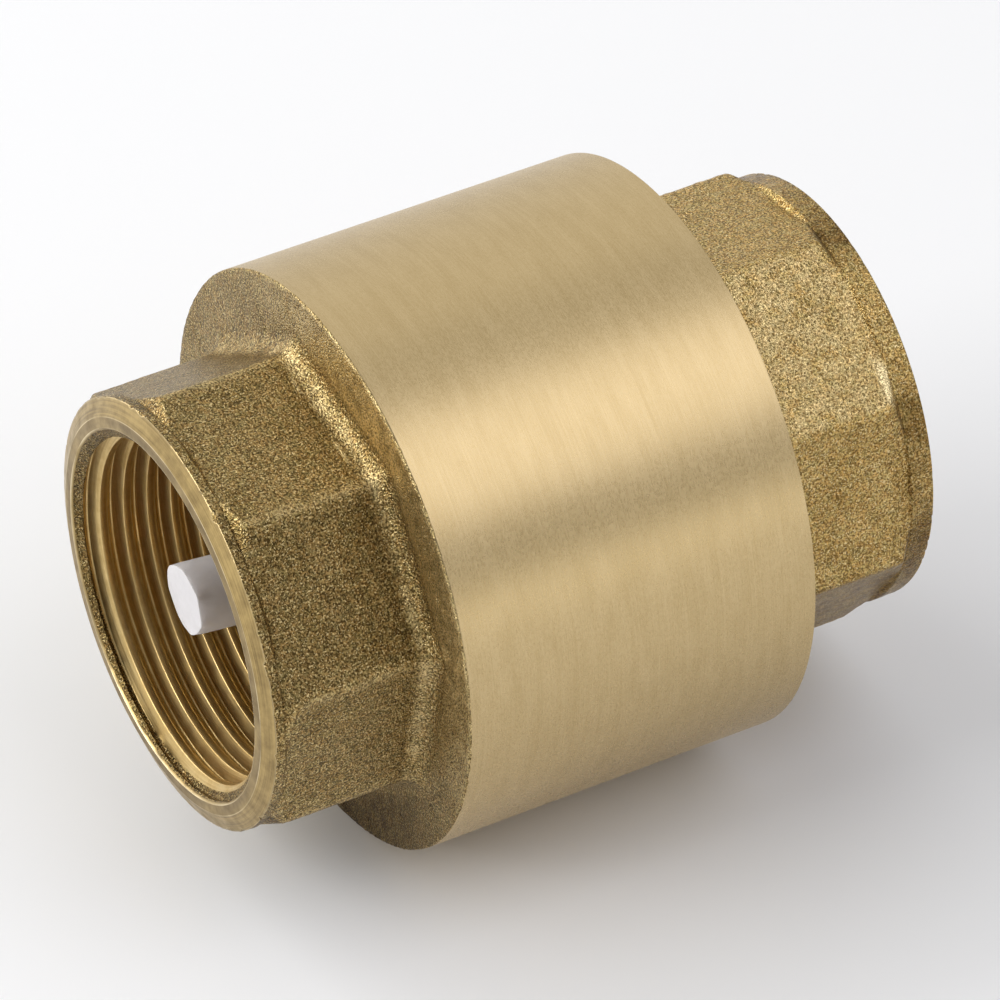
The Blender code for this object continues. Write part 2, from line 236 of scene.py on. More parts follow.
def rounded_path(corners, support=0.12 * MM):
    """Points (x, radius) along straight runs with rounded corners.

    The corners are (x, radius, rounding) triples.
    A support point beside each rounding keeps the straight runs flat under smooth shading.
    """
    points = []
    for index, (x, r, rounding) in enumerate(corners):
        here = np.array((x, r))
        if index in (0, len(corners) - 1) or not rounding:
            points.append(here)
            continue
        before = np.array(corners[index - 1][:2]) - here
        after = np.array(corners[index + 1][:2]) - here
        before /= np.linalg.norm(before)
        after /= np.linalg.norm(after)
        points.append(here + before * (rounding + support))
        for share in np.linspace(0.0, 1.0, 5):
            start = here + before * rounding * (1 - share)
            end = here + after * rounding * share
            points.append(start * (1 - share) + end * share)
        points.append(here + after * (rounding + support))
    return points


class Rings:
    """Rings of points round X that make the skin of one solid.

    The wear value is negative where shade is painted and positive where edges are rubbed bright and
    where highlights are painted: about -1 to 1, and more in a painted glint. A ring's last point
    joins the first point of its partner, which is the ring itself unless the rings follow a helix.
    """

    def __init__(self, angles=ANGLES):
        self.angles = angles
        self.rings = []
        self.regions = []
        self.wear_and_shading = []
        self.partners = []

    def add(self, x, radius, region=CAST, wear_and_shading=0.0):
        ring = np.empty((len(self.angles), 3))
        ring[:, 0] = x
        ring[:, 1] = -radius * np.sin(self.angles)
        ring[:, 2] = radius * np.cos(self.angles)
        self.rings.append(ring)
        self.regions.append(region)
        self.wear_and_shading.append(np.broadcast_to(wear_and_shading, len(self.angles)))
        self.partners.append(len(self.partners))

    def path(self, corners, region=CAST, support=0.12 * MM):
        for x, radius in rounded_path(corners, support):
            self.add(x, radius, region)

    def grid(self):
        return np.array(self.rings)

    def shell(self, grid, loops):
        return grid, self.regions, loops, self.partners


def grid_normals(grid):
    along = np.roll(grid, -1, 0) - np.roll(grid, 1, 0)
    around = np.roll(grid, -1, 1) - np.roll(grid, 1, 1)
    normals = np.cross(along, around)
    return normals / np.maximum(np.linalg.norm(normals, axis=2, keepdims=True), 1e-12)


def roughen(grid, rings, coats, seed):
    """Moves the given rings along their normals by noise; a coat is (height, size of its lumps)."""
    normals = grid_normals(grid)
    for ring in rings:
        for column in range(grid.shape[1]):
            point = Vector(grid[ring, column])
            shift = Vector((seed, 0, 0))
            height = sum(h * noise.noise(point / size + shift) for h, size in coats)
            grid[ring, column] += normals[ring, column] * height


def ring_noise(radius, lump, seed):
    """Noise round a circle, about -1 to 1, with lumps of the given length."""
    points = radius / lump * np.column_stack((np.sin(ANGLES), np.cos(ANGLES)))
    return np.array([noise.noise(Vector((a, b, seed))) for a, b in points])


def grid_mesh(name, shells, materials, wear_and_shading=None):
    """One mesh from ring grids, each given as (grid, material index of each ring, whether it loops,
    partner of each ring).

    A looping shell's last ring joins its first. Any other shell is closed by a fan at each end.
    """
    vertices, faces, regions = [], [], []
    start = 0
    for grid, ring_regions, loops, partners in shells:
        rows, columns = grid.shape[:2]
        index = np.arange(rows * columns).reshape(rows, columns)
        bands = rows if loops else rows - 1
        right = np.roll(index, -1, 1)
        right[:, -1] = index[partners, 0]
        quads = np.stack((index, right, np.roll(right, -1, 0), np.roll(index, -1, 0)), axis=2)
        quads = quads[:bands]
        corners = grid.reshape(-1, 3)
        first, second, third = (corners[quads[..., k]] - corners.mean(0) for k in (0, 1, 2))
        outward = np.einsum("ijk,ijk->", first, np.cross(second, third)) > 0
        if not outward:
            quads = quads[..., ::-1]
        made = (quads.reshape(-1, 4) + start).tolist()
        made_regions = list(np.repeat(np.roll(ring_regions, -1)[:bands], columns))
        if not loops:
            corners = np.concatenate((corners, grid[0].mean(0)[None], grid[-1].mean(0)[None]))
            for end, centre in ((0, rows * columns), (-1, rows * columns + 1)):
                fan = np.stack((index[end], right[end], np.full(columns, centre)), axis=1)
                if outward == (end == 0):
                    fan = fan[:, ::-1]
                made += (fan + start).tolist()
                made_regions += [ring_regions[end]] * columns
        vertices.append(corners)
        faces += made
        regions += made_regions
        start += len(corners)
    mesh = bpy.data.meshes.new(name)
    mesh.from_pydata(np.concatenate(vertices), [], faces)
    mesh.polygons.foreach_set("material_index", np.array(regions, np.int32))
    if wear_and_shading is not None:
        # This point attribute holds rubbed wear together with painted highlights and painted shade.
        worn_and_lit = np.zeros(len(mesh.vertices), np.float32)
        worn_and_lit[: wear_and_shading.size] = wear_and_shading.ravel()
        mesh.attributes.new("wear_and_shading", "FLOAT", "POINT").data.foreach_set("value", worn_and_lit)
    joined = bmesh.new()
    joined.from_mesh(mesh)
    bmesh.ops.remove_doubles(joined, verts=joined.verts, dist=MERGE)
    joined.to_mesh(mesh)
    joined.free()
    mesh.shade_smooth()
    mesh.set_sharp_from_angle(angle=CREASE)
    mesh.update()
    for material in materials:
        mesh.materials.append(material)
    return mesh


def place(name, mesh, body, slot, *nodes):
    """Adds the piece to the scene on its body and hides the nodes that it stands for.

    The slot is not used.
    """
    piece = bpy.data.objects.new(name, mesh)
    bpy.context.scene.collection.objects.link(piece)
    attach(piece, body)
    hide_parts(*nodes)
    return piece


# ---- shapes of the two castings ---------------------------------------------------------------
def angle_from_corner(turn):
    """Angle from the nearest corner of the wrench flats; turn is one corner's angle."""
    half = pi / FLATS
    return np.abs((ANGLES - turn + half) % (2 * half) - half)


def octagon_radius(turn):
    """Radius of the wrench flats at each angle, with rounded corners."""
    half = pi / FLATS
    from_corner = angle_from_corner(turn)
    flat = APOTHEM / np.cos(half - from_corner)
    centre = (APOTHEM - CORNER_ROUND) / cos(half)
    reach = half - atan((APOTHEM - CORNER_ROUND) * tan(half) / APOTHEM)
    inside = np.maximum(CORNER_ROUND**2 - (centre * np.sin(from_corner)) ** 2, 0.0)
    arc = centre * np.cos(from_corner) + np.sqrt(inside)
    return np.where(from_corner < reach, arc, flat)


def flash_lip(flashes):
    """Height of the thin flash left at the root of the flats, between each pair of degrees."""
    height = np.zeros(AROUND)
    for start, end in flashes:
        middle, half = radians(start + end) / 2, radians(end - start) / 2
        away = np.abs((ANGLES - middle + pi) % (2 * pi) - pi)
        height += FLASH_HEIGHT * np.clip((half - away) / (0.3 * half), 0.0, 1.0)
    return height


def painted_flat_shading(flats):
    """Painted light and shade on each flat, from (first degree, last degree, amount) triples."""
    wear_and_shading = np.zeros(AROUND)
    for start, end, amount in flats:
        middle, half = radians(start + end) / 2, radians(end - start) / 2
        away = np.abs((ANGLES - middle + pi) % (2 * pi) - pi)
        wear_and_shading += amount * np.clip((half - away) / FLAT_BLEND + 0.5, 0.0, 1.0)
    return wear_and_shading


def port_outside(rings, mouth, side, length, collar, turn, shoulder_radius, marks, seed):
    """The port's outer side, from its mouth to the shoulder.

    Side is the way from the mouth inwards, 1 or -1.
    """
    rim_slope = (RIM_DEPTH - RIM_STEP) / (COLLAR_RADIUS - RIM_RADIUS)
    patchy = np.clip(0.65 + 0.9 * ring_noise(MOUTH_RADIUS, RIM_PATCHES, seed + 2.0), 0.15, 1.0)
    line = RIM_LINE
    # The mouth's edges are brightened as rubbed wear and a painted highlight, and the rim's end
    # face is darkened as painted shade.
    rings.add(mouth + side * 2 * line, MOUTH_RADIUS - 2 * line * LEAD_SLOPE, RIM)
    rings.add(mouth + side * 0.3 * line, MOUTH_RADIUS - 0.3 * line, RIM, 0.7 * patchy)
    rings.add(mouth, MOUTH_RADIUS, RIM, patchy)
    for share, worn_and_lit in RIM_WEAR_AND_SHADING:
        radius = MOUTH_RADIUS * (1 - share) + RIM_RADIUS * share
        rings.add(mouth + side * RIM_STEP * share, radius, RIM, worn_and_lit * patchy)
    nicks = RIM_NICK * np.maximum(ring_noise(COLLAR_RADIUS, NICK_LUMPS, seed) - 0.25, 0.0)
    middle = (RIM_RADIUS + COLLAR_RADIUS) / 2
    for radius in (RIM_RADIUS + line, middle, COLLAR_RADIUS - COLLAR_EDGE - nicks):
        rings.add(mouth + side * (RIM_STEP + (radius - RIM_RADIUS) * rim_slope), radius, RIM)
    radius = COLLAR_RADIUS - nicks
    depth = RIM_STEP + (radius - RIM_RADIUS) * rim_slope
    rings.add(mouth + side * depth, radius, RIM, COLLAR_WEAR_AND_HIGHLIGHT)
    octagon = octagon_radius(turn)
    from_corner = angle_from_corner(turn) * APOTHEM
    # The corners and the edges of the corner cuts are brightened as rubbed wear and as a painted
    # highlight.
    corner_wear_and_highlight = marks["ridge_wear_and_highlight"] * np.exp(-((from_corner / CORNER_BRIGHT_WIDTH) ** 2))
    flat_shading = painted_flat_shading(marks["flat_shading"])
    lit_side = np.maximum(np.cos(ANGLES - LIT_SIDE), 0.0)
    shaded_side = np.maximum(-np.cos(ANGLES + SHADED_SIDE), 0.0)
    behind_cut = np.exp(-((from_corner / CUT_SHADE_WIDTH) ** 2))
    flats_end = length - ROOT_FILLET
    corner_end = collar + CORNER_CUT
    depths = np.concatenate(
        (
            (RIM_DEPTH + 0.06 * MM,),
            np.arange(RIM_DEPTH + 0.25 * MM, collar - 0.1 * MM, 0.2 * MM),
            np.arange(collar - 0.1 * MM, corner_end, 0.09 * MM),
            np.arange(corner_end, flats_end - 0.4 * MM, FLAT_RING),
            (flats_end - 0.2 * MM, flats_end - 0.1 * MM),
        )
    )
    for depth in depths:
        past_collar = depth - collar
        cone = COLLAR_RADIUS - 0.15 * MM + past_collar * CORNER_SLOPE
        step = COLLAR_RADIUS - max(past_collar, 0.0) * STEP_SLOPE
        corners = smooth_min(octagon, cone, CAST_BLEND)
        wear_and_shading = corner_wear_and_highlight * min(max(past_collar / CORNER_CUT, 0.0), 1.0)
        cut_edge = np.exp(-(((octagon - cone) / CUT_EDGE_WIDTH) ** 2)) * (octagon > COLLAR_RADIUS)
        wear_and_shading = np.maximum(wear_and_shading, 0.5 * marks["ridge_wear_and_highlight"] * cut_edge)
        # Painted shade on the recessed collar and behind each corner cut.
        on_collar = min(max(1 - past_collar / COLLAR_SHADE_REACH, 0.0), 1.0)
        on_cut = min(max(1.5 - past_collar / CUT_SHADE_REACH, 0.0), 1.0)
        wear_and_shading = wear_and_shading + flat_shading - on_collar * marks["collar_shade"]
        wear_and_shading = wear_and_shading - on_cut * behind_cut * marks["cut_shade"]
        # A painted glint on the corner cut.
        for glint_angle, glint_depth in marks["glints"]:
            away = (ANGLES - radians(glint_angle)) / radians(GLINT_SIZE[0])
            along = (depth - glint_depth) / GLINT_SIZE[1]
            wear_and_shading = wear_and_shading + GLINT_BRIGHTNESS * np.exp(-(away**4) - along**2)
        rings.add(mouth + side * depth, smooth_max(corners, step, CAST_BLEND), CAST, wear_and_shading)
    lip = flash_lip(marks["flashes"])
    # A painted highlight along the upper part of the root fillet, in patches.
    root_patches = np.clip(0.45 + 1.3 * ring_noise(APOTHEM, ROOT_LUMPS, seed + 5.0), 0.1, 1.0)
    root_highlight = marks["root_highlight"] * root_patches
    # The flash and the corners at the root are brightened as rubbed wear and a painted highlight.
    wear_and_shading = np.maximum(corner_wear_and_highlight, lip / FLASH_HEIGHT) + flat_shading
    rings.add(mouth + side * flats_end, octagon + lip, CAST, wear_and_shading)
    for share in np.linspace(0.0, 1.0, ARC_RINGS)[1:]:
        arc = share * pi / 2
        depth = flats_end + ROOT_FILLET * sin(arc)
        # Painted shade in the root fillet, growing towards the shoulder.
        wear_and_shading = (corner_wear_and_highlight + flat_shading) * (1 - share) - marks["root_shade"] * share
        wear_and_shading = wear_and_shading + root_highlight * exp(-(((share - 0.28) / 0.2) ** 2))
        rings.add(mouth + side * depth, octagon + ROOT_FILLET * (1 - cos(arc)), CAST, wear_and_shading)
    for share in np.linspace(0.1, 1.0, 10):
        radius = (octagon + ROOT_FILLET) * (1 - share) + shoulder_radius * share
        # Painted light on the upper side of the shoulder and painted shade on its lower side.
        wear_and_shading = SHOULDER_PAINTED_LIGHT * lit_side - SHOULDER_PAINTED_SHADE * shaded_side
        # Painted shade on the shoulder next to the fillet.
        wear_and_shading = wear_and_shading - marks["root_shade"] * (1 - share)
        rings.add(mouth + side * length, radius, CAST, wear_and_shading)


def thread_radius(x):
    """Radius of the right-hand internal thread at x: flat lands and narrow roots."""
    turn = (x / THREAD_PITCH - ANGLES / (2 * pi)) % 1.0
    ridge = 1 - np.abs(2 * turn - 1)
    land_cut = THREAD_SHARP_DEPTH * 5 / 6 - THREAD_DEPTH
    level = (ridge * THREAD_SHARP_DEPTH - land_cut) / THREAD_DEPTH
    rise = np.sqrt(level**2 + THREAD_ROUND**2)
    fall = np.sqrt((level - 1) ** 2 + THREAD_ROUND**2)
    return THREAD_LAND + THREAD_DEPTH * (rise - fall + 1) / 2


def thread_rows():
    """Where the rows of points lie in one pitch, as shares of it: closer at each edge."""
    land = (THREAD_SHARP_DEPTH * 5 / 6 - THREAD_DEPTH) / THREAD_SHARP_DEPTH / 2
    root = 5 / 12
    near = 0.015
    half = [land - near, land, land + near, (land + root) / 2, root - near, root + near]
    return np.array([0.0, *half, 0.5, *(1 - share for share in reversed(half))])


def bore_radius(x, depth):
    """The thread at x, opened out by the lead-in at the mouth and the relief at its inner end."""
    chamfer = MOUTH_RADIUS - depth * LEAD_SLOPE
    runout = RELIEF_RADIUS - (THREAD_LENGTH - depth) * STEP_SLOPE
    return smooth_max(thread_radius(x), np.maximum(chamfer, runout), 0.02 * MM)


def port_inside(rings, mouth, side):
    """The threaded bore, from the relief behind the thread out to the mouth's as-cast lead-in.

    The thread's rows follow its helix, so that its edges stay crisp.
    """
    low, high = sorted((mouth + side * THREAD_LENGTH, mouth + side * LEAD_IN))
    phases = thread_rows()
    pitches = np.arange(np.floor(low / THREAD_PITCH) - 2, np.ceil(high / THREAD_PITCH) + 1)
    lattice = ((pitches[:, None] + phases) * THREAD_PITCH).ravel()
    starts = [low - THREAD_PITCH, *lattice[(lattice > low - THREAD_PITCH) & (lattice < high)], high]
    if side > 0:
        starts.reverse()
    first, last = len(rings.rings), len(rings.rings) + len(starts) - 1
    for start in starts:
        x = np.clip(start + THREAD_PITCH * ANGLES / (2 * pi), low, high)
        rings.add(x, bore_radius(x, (x - mouth) * side), MACHINED)
    for index in range(first, last + 1):
        rings.partners[index] = min(max(index - side * len(phases), first), last)
    for depth in np.linspace(LEAD_IN, 0.15 * MM, LEAD_RINGS + 1)[1:]:
        x = mouth + side * depth
        # The lead-in inside the mouth takes painted shade.
        rings.add(x, bore_radius(x, depth), CAST, LEAD_IN_SHADE)
    return list(range(last + 1, len(rings.rings)))


def cast_rings(rings, last):
    return [index for index, region in enumerate(rings.regions[:last]) if region == CAST]


def hub_shell():
    """The stem guide's hub as a short tube."""
    hub = Rings(np.linspace(0.0, 2 * pi, 96, endpoint=False))
    edge = 0.4 * MM
    hub.path(
        [
            (HUB_START, (HUB_BORE + HUB_RADIUS) / 2, 0.0),
            (HUB_START, HUB_RADIUS, edge),
            (HUB_END, HUB_RADIUS, edge),
            (HUB_END, HUB_BORE, 0.15 * MM),
            (HUB_START, HUB_BORE, 0.15 * MM),
        ]
    )
    return hub.shell(hub.grid(), True)


def rib_shell(angle):
    """One rib: rounded box sections along the radius, flared where it meets hub and wall."""
    count = 40
    section_angles = np.linspace(0.0, 2 * pi, count, endpoint=False)
    inner, outer = HUB_BORE + 0.5 * MM, PASSAGE_RADIUS + 0.5 * MM
    middle, half_length = (RIB_START + RIB_END) / 2, (RIB_END - RIB_START) / 2
    flare = 0.5 * MM
    rings = []
    for share in np.linspace(0.0, 1.0, 24):
        radius = inner + (outer - inner) * share
        near_hub = max(0.0, 1 - (radius - HUB_RADIUS) / (2 * flare))
        near_wall = max(0.0, 1 - (PASSAGE_RADIUS - radius) / (2 * flare))
        grow = flare * min(1.0, max(near_hub, near_wall)) ** 2
        bulge = np.maximum(np.abs(np.cos(section_angles)), np.abs(np.sin(section_angles)))
        squareness = 1 / bulge * 0.75 + 0.25
        along = np.cos(section_angles) * squareness * half_length
        across = np.sin(section_angles) * squareness * (RIB_WIDTH / 2 + grow)
        ring = np.empty((count, 3))
        ring[:, 0] = middle + along
        ring[:, 1] = -radius * sin(angle) - across * cos(angle)
        ring[:, 2] = radius * cos(angle) - across * sin(angle)
        rings.append(ring)
    return np.array(rings), [CAST] * len(rings), False, list(range(len(rings)))


def ragged_edge(rings, x, seed):
    """The barrel's edge where turning has cut into the casting's skin."""
    jitter = EDGE_JITTER * ring_noise(BARREL_RADIUS, EDGE_LUMPS, seed)
    rings.add(x + EDGE_INSET + jitter, BARREL_RADIUS, CAST)


def valve_body(materials):
    rings = Rings()
    shoulder = OUTLET_MOUTH + OUTLET_PORT
    port_outside(
        rings,
        OUTLET_MOUTH,
        1,
        OUTLET_PORT,
        OUTLET_COLLAR,
        OUTLET_TURN,
        BARREL_RADIUS - EDGE_INSET,
        OUTLET_MARKS,
        3.0,
    )
    ragged_edge(rings, shoulder, 11.0)
    outside = len(rings.rings) - 1
    for x in (shoulder + 0.18 * MM, *np.linspace(shoulder + 0.4 * MM, BODY_REAR - 0.3 * MM, 14)):
        rings.add(x, BARREL_RADIUS, TURNED)
    bore = SPIGOT_RADIUS + JOINT_GAP
    body_step = CAP_FACE - JOINT_GAP
    edge = MACHINED_EDGE
    rings.path(
        [
            (BODY_REAR - 0.2 * MM, BARREL_RADIUS, 0.0),
            (BODY_REAR, BARREL_RADIUS, TURNED_CHAMFER),
            (BODY_REAR, BARREL_RADIUS - 0.4 * MM, 0.0),
        ],
        TURNED,
    )
    rings.path(
        [
            (BODY_REAR, BARREL_RADIUS - 0.5 * MM, 0.0),
            (BODY_REAR, bore, edge),
            (body_step, bore, edge),
            (body_step, CHAMBER_RADIUS, edge),
            (CHAMBER_START, CHAMBER_RADIUS, 1.0 * MM),
            (CHAMBER_START, PASSAGE_RADIUS, 2 * edge),
            (RIB_START - 0.3 * MM, PASSAGE_RADIUS, edge),
            (RIB_START - 0.3 * MM, RELIEF_RADIUS, edge),
            (OUTLET_MOUTH + THREAD_LENGTH, RELIEF_RADIUS, 0.0),
        ],
        MACHINED,
    )
    lead_in = port_inside(rings, OUTLET_MOUTH, 1)
    grid = rings.grid()
    roughen(grid, cast_rings(rings, outside), CAST_LUMPS, 0.0)
    roughen(grid, lead_in, LEAD_LUMPS, 0.0)
    shells = [rings.shell(grid, True), hub_shell()]
    for index in range(RIBS):
        shells.append(rib_shell(2 * pi * index / RIBS))
    return grid_mesh("valve_body_casting", shells, materials, np.array(rings.wear_and_shading))


def end_cap(materials):
    rings = Rings()
    port_outside(
        rings,
        INLET_MOUTH,
        -1,
        INLET_PORT,
        INLET_COLLAR,
        INLET_TURN,
        SPIGOT_RADIUS - 0.24 * MM,
        INLET_MARKS,
        5.0,
    )
    outside = len(rings.rings)
    relief = INLET_MOUTH - THREAD_LENGTH
    relief_end = relief - RELIEF_LENGTH
    lip = SEAT_RADIUS + SEAT_LIP
    edge = MACHINED_EDGE
    rings.path(
        [
            (BODY_REAR, SPIGOT_RADIUS - 0.18 * MM, 0.0),
            (BODY_REAR - edge, SPIGOT_RADIUS, 0.0),
            (ring_high.x + 0.25 * MM, SPIGOT_RADIUS, 0.05 * MM),
            (ring_high.x + 0.25 * MM, GROOVE_FLOOR, 0.05 * MM),
            (ring_low.x - 0.25 * MM, GROOVE_FLOOR, 0.05 * MM),
            (ring_low.x - 0.25 * MM, SPIGOT_RADIUS, 0.05 * MM),
            (CAP_FACE, SPIGOT_RADIUS, edge),
            (CAP_FACE, lip + 0.6 * MM, edge),
            (SEAT_PLANE, lip, edge),
            (SEAT_PLANE, SEAT_RADIUS, edge),
            (relief_end, SEAT_RADIUS, edge),
            (relief_end, RELIEF_RADIUS, edge),
            (relief, RELIEF_RADIUS, 0.0),
        ],
        MACHINED,
    )
    lead_in = port_inside(rings, INLET_MOUTH, -1)
    grid = rings.grid()
    roughen(grid, cast_rings(rings, outside), CAST_LUMPS, 7.0)
    roughen(grid, lead_in, LEAD_LUMPS, 7.0)
    return grid_mesh("end_cap_casting", [rings.shell(grid, True)], materials, np.array(rings.wear_and_shading))


# ---- shapes of the moving and small pieces ----------------------------------------------------
def turned_piece(name, corners, materials, loops=False, around=96, reshape=None):
    rings = Rings(np.linspace(0.0, 2 * pi, around, endpoint=False))
    rings.path(corners, support=0.08 * MM)
    grid = rings.grid()
    if reshape:
        reshape(grid)
    return grid_mesh(name, [rings.shell(grid, loops)], materials)


STEM_RADIUS = 2.53 * MM
STEM_RISE = 0.8 * MM
STEM_SETBACK = 0.32 * MM
STEM_EDGE = 0.03 * MM
STEM_BURR = 0.2 * MM
TIP_SLANT = 0.10
TIP_FLAT = 0.9 * MM
TIP_SIDES = 7
TIP_FACET = 0.3


def reshape_stem(grid):
    """Bows the stem's free end off the axis and gives its trimmed tip a slanted facet and burrs."""
    tip = poppet_low.x + STEM_SETBACK
    share = np.clip((HUB_START - grid[..., 0]) / (HUB_START - tip), 0.0, 1.0)
    near_tip = np.clip((tip + 0.5 * MM - grid[..., 0]) / (0.4 * MM), 0.0, 1.0)
    behind = (grid[..., 1] * 0.73 - grid[..., 2] * 0.68) - TIP_FLAT
    grid[..., 0] += near_tip * np.maximum(behind, 0.0) * TIP_SLANT
    half = pi / TIP_SIDES
    from_side = np.arctan2(grid[..., 1], grid[..., 2]) % (2 * half) - half
    grid[..., 1:] *= (1 - near_tip * TIP_FACET * (1 - cos(half) / np.cos(from_side)))[..., None]
    radius = np.hypot(grid[..., 1], grid[..., 2])
    on_edge = near_tip * np.clip((radius - STEM_RADIUS + 0.25 * MM) / (0.2 * MM), 0.0, 1.0)
    for row, column in np.argwhere(on_edge > 0.0):
        point = Vector(grid[row, column])
        burr = STEM_BURR * max(0.0, noise.noise(point / (1.1 * MM))) * on_edge[row, column]
        outward = Vector((0.0, point.y, point.z)).normalized()
        grid[row, column] += burr * outward
    grid[..., 2] += STEM_RISE * share**1.5


def poppet(materials):
    """Disc with its guide stem; the stem's free end stands a little high of the axis."""
    disc_radius = poppet_high.z
    seal_boss = 4.9 * MM
    socket = 1.7 * MM
    front = seal_low.x - JOINT_GAP
    back = front - 2.0 * MM
    boss_end = back - 4.0 * MM
    tip = poppet_low.x + STEM_SETBACK
    corners = [
        (retainer_low.x - JOINT_GAP, socket / 2, 0.0),
        (retainer_low.x - JOINT_GAP, socket, 0.1 * MM),
        (poppet_high.x, socket, 0.1 * MM),
        (poppet_high.x, seal_boss, 0.15 * MM),
        (front, seal_boss, 0.1 * MM),
        (front, disc_radius, 0.3 * MM),
        (back, disc_radius, 0.3 * MM),
        (back, HUB_RADIUS, 0.4 * MM),
        (boss_end, HUB_RADIUS, 0.25 * MM),
        (boss_end, STEM_RADIUS, 0.3 * MM),
    ]
    corners += [(x, STEM_RADIUS, 0.0) for x in np.linspace(HUB_START, tip + 0.5 * MM, 12)]
    corners.append((tip, STEM_RADIUS, STEM_EDGE))
    corners += [(tip, STEM_RADIUS * share, 0.0) for share in np.linspace(0.94, 0.06, 16)]
    return turned_piece("poppet_moulding", corners, materials, reshape=reshape_stem)


def poppet_seal(materials):
    inner = 5.2 * MM
    outer = seal_high.z
    corners = [
        (seal_high.x, (inner + outer) / 2, 0.0),
        (seal_high.x, outer, 0.35 * MM),
        (seal_low.x, outer, 0.35 * MM),
        (seal_low.x, inner, 0.15 * MM),
        (seal_high.x, inner, 0.15 * MM),
    ]
    return turned_piece("poppet_seal_ring", corners, materials, loops=True)


def seal_retainer(materials):
    radius = retainer_high.z
    pin = 1.4 * MM
    low = retainer_high.x - 1.8 * MM
    corners = [
        (retainer_high.x - 0.25 * MM, 1.0 * MM, 0.0),
        (retainer_high.x - 0.25 * MM, 2.2 * MM, 0.1 * MM),
        (retainer_high.x, 2.6 * MM, 0.1 * MM),
        (retainer_high.x, radius - 0.5 * MM, 0.2 * MM),
        (retainer_high.x - 0.5 * MM, radius, 0.15 * MM),
        (low, radius, 0.1 * MM),
        (low, pin, 0.1 * MM),
        (retainer_low.x, pin, 0.25 * MM),
        (retainer_low.x, pin / 2, 0.0),
    ]
    return turned_piece("seal_retainer_cap", corners, materials)


def o_ring(materials):
    centre = (ring_low.x + ring_high.x) / 2
    section = (ring_high.x - ring_low.x) / 2
    radius = ring_high.z - section
    rings = Rings(np.linspace(0.0, 2 * pi, 192, endpoint=False))
    for angle in np.linspace(0.0, 2 * pi, 20, endpoint=False):
        rings.add(centre + section * sin(angle), radius + section * cos(angle))
    return grid_mesh("cap_o_ring_rubber", [rings.shell(rings.grid(), True)], materials)


def spring(materials):
    """Compression spring with closed ends, as one swept round wire."""
    wire = 0.4 * MM
    mean_radius = 5.4 * MM
    closed, active = 0.9, 3.5
    turns = active + 2 * closed
    low, high = spring_low.x + wire, spring_high.x - wire
    closed_pitch = 2 * wire + 0.05 * MM
    active_pitch = (high - low - 2 * closed * closed_pitch) / active
    steps = 420
    turn = np.linspace(0.0, turns, steps)
    pitch = np.where((turn < closed) | (turn > turns - closed), closed_pitch, active_pitch)
    travel = np.concatenate(([0.0], np.cumsum((pitch[1:] + pitch[:-1]) / 2 * np.diff(turn))))
    x = low + travel * (high - low) / travel[-1]
    angle = 2 * pi * turn + pi
    line = np.column_stack((x, -mean_radius * np.sin(angle), mean_radius * np.cos(angle)))
    tangent = np.gradient(line, axis=0)
    tangent /= np.linalg.norm(tangent, axis=1, keepdims=True)
    outward = np.column_stack((np.zeros(steps), line[:, 1], line[:, 2]))
    outward -= (outward * tangent).sum(1, keepdims=True) * tangent
    outward /= np.linalg.norm(outward, axis=1, keepdims=True)
    side = np.cross(tangent, outward)
    around = np.linspace(0.0, 2 * pi, 16, endpoint=False)[None, :, None]
    section = outward[:, None] * np.cos(around) + side[:, None] * np.sin(around)
    grid = line[:, None] + wire * section
    shell = (grid, [CAST] * steps, False, list(range(steps)))
    return grid_mesh("closing_spring_wire", [shell], materials)


# ---- materials --------------------------------------------------------------------------------
GRAIN_SIZE = 0.155 * MM
SPECK_SIZE = 0.12 * MM
STAIN_SIZE = 2.6 * MM
HUE_SIZE = 0.45 * MM
BLOTCH_SIZE = 1.1 * MM
CAST_BUMP = 0.07 * MM
TURNED_LINE = 0.06 * MM
TURNED_RUN = 9.0 * MM
TURNED_BUMP = 0.002 * MM
MACHINED_LINE = 0.05 * MM
MACHINED_RUN = 6 * MM
MACHINED_BUMP = 0.006 * MM
WARM_TINT = (1.1, 0.96, 0.78, 1.0)
PALE_TINT = (0.98, 0.99, 0.87, 1.0)
SHADE_BROWN = (0.12, 0.08, 0.035, 1.0)


def add(tree, kind, settings=None, **inputs):
    """A new node; an input that is a socket is linked and any other value is set."""
    made = tree.nodes.new(kind)
    for name, value in (settings or {}).items():
        setattr(made, name, value)
    for name, value in inputs.items():
        socket = made.inputs[name.replace("_", " ")]
        if isinstance(value, bpy.types.NodeSocket):
            tree.links.new(value, socket)
        else:
            socket.default_value = value
    return made


def new_material(name, **shader_inputs):
    material = bpy.data.materials.new(name)
    material.use_nodes = True
    tree = material.node_tree
    shader = tree.nodes["Principled BSDF"]
    for key, value in shader_inputs.items():
        shader.inputs[key.replace("_", " ")].default_value = value
    return material, tree, shader


def object_place(tree, scale):
    coordinates = add(tree, "ShaderNodeTexCoord").outputs["Object"]
    return add(tree, "ShaderNodeMapping", Vector=coordinates, Scale=scale).outputs["Vector"]


def noise_value(tree, scale, detail=2.0, roughness=0.5, distortion=0.0):
    """Noise with its lumps 1 / scale across, along each axis."""
    vector = object_place(tree, scale if isinstance(scale, tuple) else (scale,) * 3)
    made = add(
        tree,
        "ShaderNodeTexNoise",
        Vector=vector,
        Scale=1.0,
        Detail=detail,
        Roughness=roughness,
        Distortion=distortion,
    )
    return made.outputs["Fac"]


def map_range(tree, value, low, high, to_low, to_high):
    made = add(
        tree,
        "ShaderNodeMapRange",
        Value=value,
        From_Min=low,
        From_Max=high,
        To_Min=to_low,
        To_Max=to_high,
    )
    return made.outputs["Result"]


